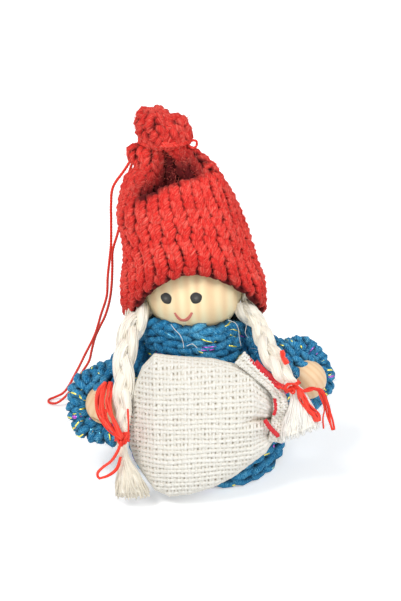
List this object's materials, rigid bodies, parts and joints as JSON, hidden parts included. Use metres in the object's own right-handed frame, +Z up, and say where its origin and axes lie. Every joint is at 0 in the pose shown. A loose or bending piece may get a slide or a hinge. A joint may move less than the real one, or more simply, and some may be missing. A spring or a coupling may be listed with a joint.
{
  "type": "ornament doll",
  "caption": "Small hanging doll: bead head in a knitted hat over a knitted bell dress, bead hands in rolled cuffs, tied yarn braids and a stuffed cloth sack.",
  "frame": {"origin": "centre of the flat base, on the surface that the doll stands on", "axes": "+Z up from the base through the head; the doll faces -Y; +X is to the right of someone who looks at its face"},
  "size_m": [0.0788, 0.0589, 0.0938],
  "materials": {
    "wood": "smooth pale wood, thinly waxed",
    "eye_paint": "satin dark paint",
    "mouth_paint": "thin satin paint",
    "teal_knit": "knitted two-ply wool with a fine metallic thread",
    "red_knit": "knitted two-ply wool, slightly fuzzy",
    "cream_yarn": "soft unspun yarn",
    "red_floss": "stranded cotton floss",
    "red_thread": "twisted sewing thread",
    "sack_cloth": "coarse plain-woven cotton",
    "wadding": "loose wadding",
    "wire": "soft annealed wire"
  },
  "bodies": {
    "torso": {"body_core": "wood", "dress": "teal_knit", "arm_wire_centre": "wire", "head_bead": "wood", "eye_left": "eye_paint", "eye_right": "eye_paint", "mouth": "mouth_paint", "hair_hank": "cream_yarn", "hat": "red_knit", "hat_tie": "red_knit", "hanging_loop": "red_thread", "sack_cloth": "sack_cloth", "sack_stuffing": "wadding", "sack_cord": "red_floss"},
    "arm_left": {"sleeve_left": "teal_knit", "arm_wire_left": "wire", "hand_bead_left": "wood"},
    "arm_right": {"sleeve_right": "teal_knit", "arm_wire_right": "wire", "hand_bead_right": "wood"},
    "braid_left": {"braid_left_strand_1": "cream_yarn", "braid_left_strand_2": "cream_yarn", "braid_left_strand_3": "cream_yarn", "tie_left": "red_floss", "tassel_left": "cream_yarn"},
    "braid_right": {"braid_right_strand_1": "cream_yarn", "braid_right_strand_2": "cream_yarn", "braid_right_strand_3": "cream_yarn", "tie_right": "red_floss", "tassel_right": "cream_yarn"}
  },
  "joints": [
    {"name": "arm_left_raise", "type": "hinge", "parent": "torso", "child": "arm_left", "pos_m": [-0.01575, -0.001, 0.0345], "axis": [0, 1, 0], "range_deg": [0, 45]},
    {"name": "arm_right_raise", "type": "hinge", "parent": "torso", "child": "arm_right", "pos_m": [0.01078, -0.001, 0.0345], "axis": [0, -1, 0], "range_deg": [0, 45]},
    {"name": "braid_left_swing", "type": "hinge", "parent": "torso", "child": "braid_left", "pos_m": [-0.01635, -0.003, 0.04387], "axis": [-1, 0, 0], "range_deg": [0, 20]},
    {"name": "braid_right_swing", "type": "hinge", "parent": "torso", "child": "braid_right", "pos_m": [0.00925, -0.003, 0.04387], "axis": [-1, 0, 0], "range_deg": [0, 15]}
  ]
}
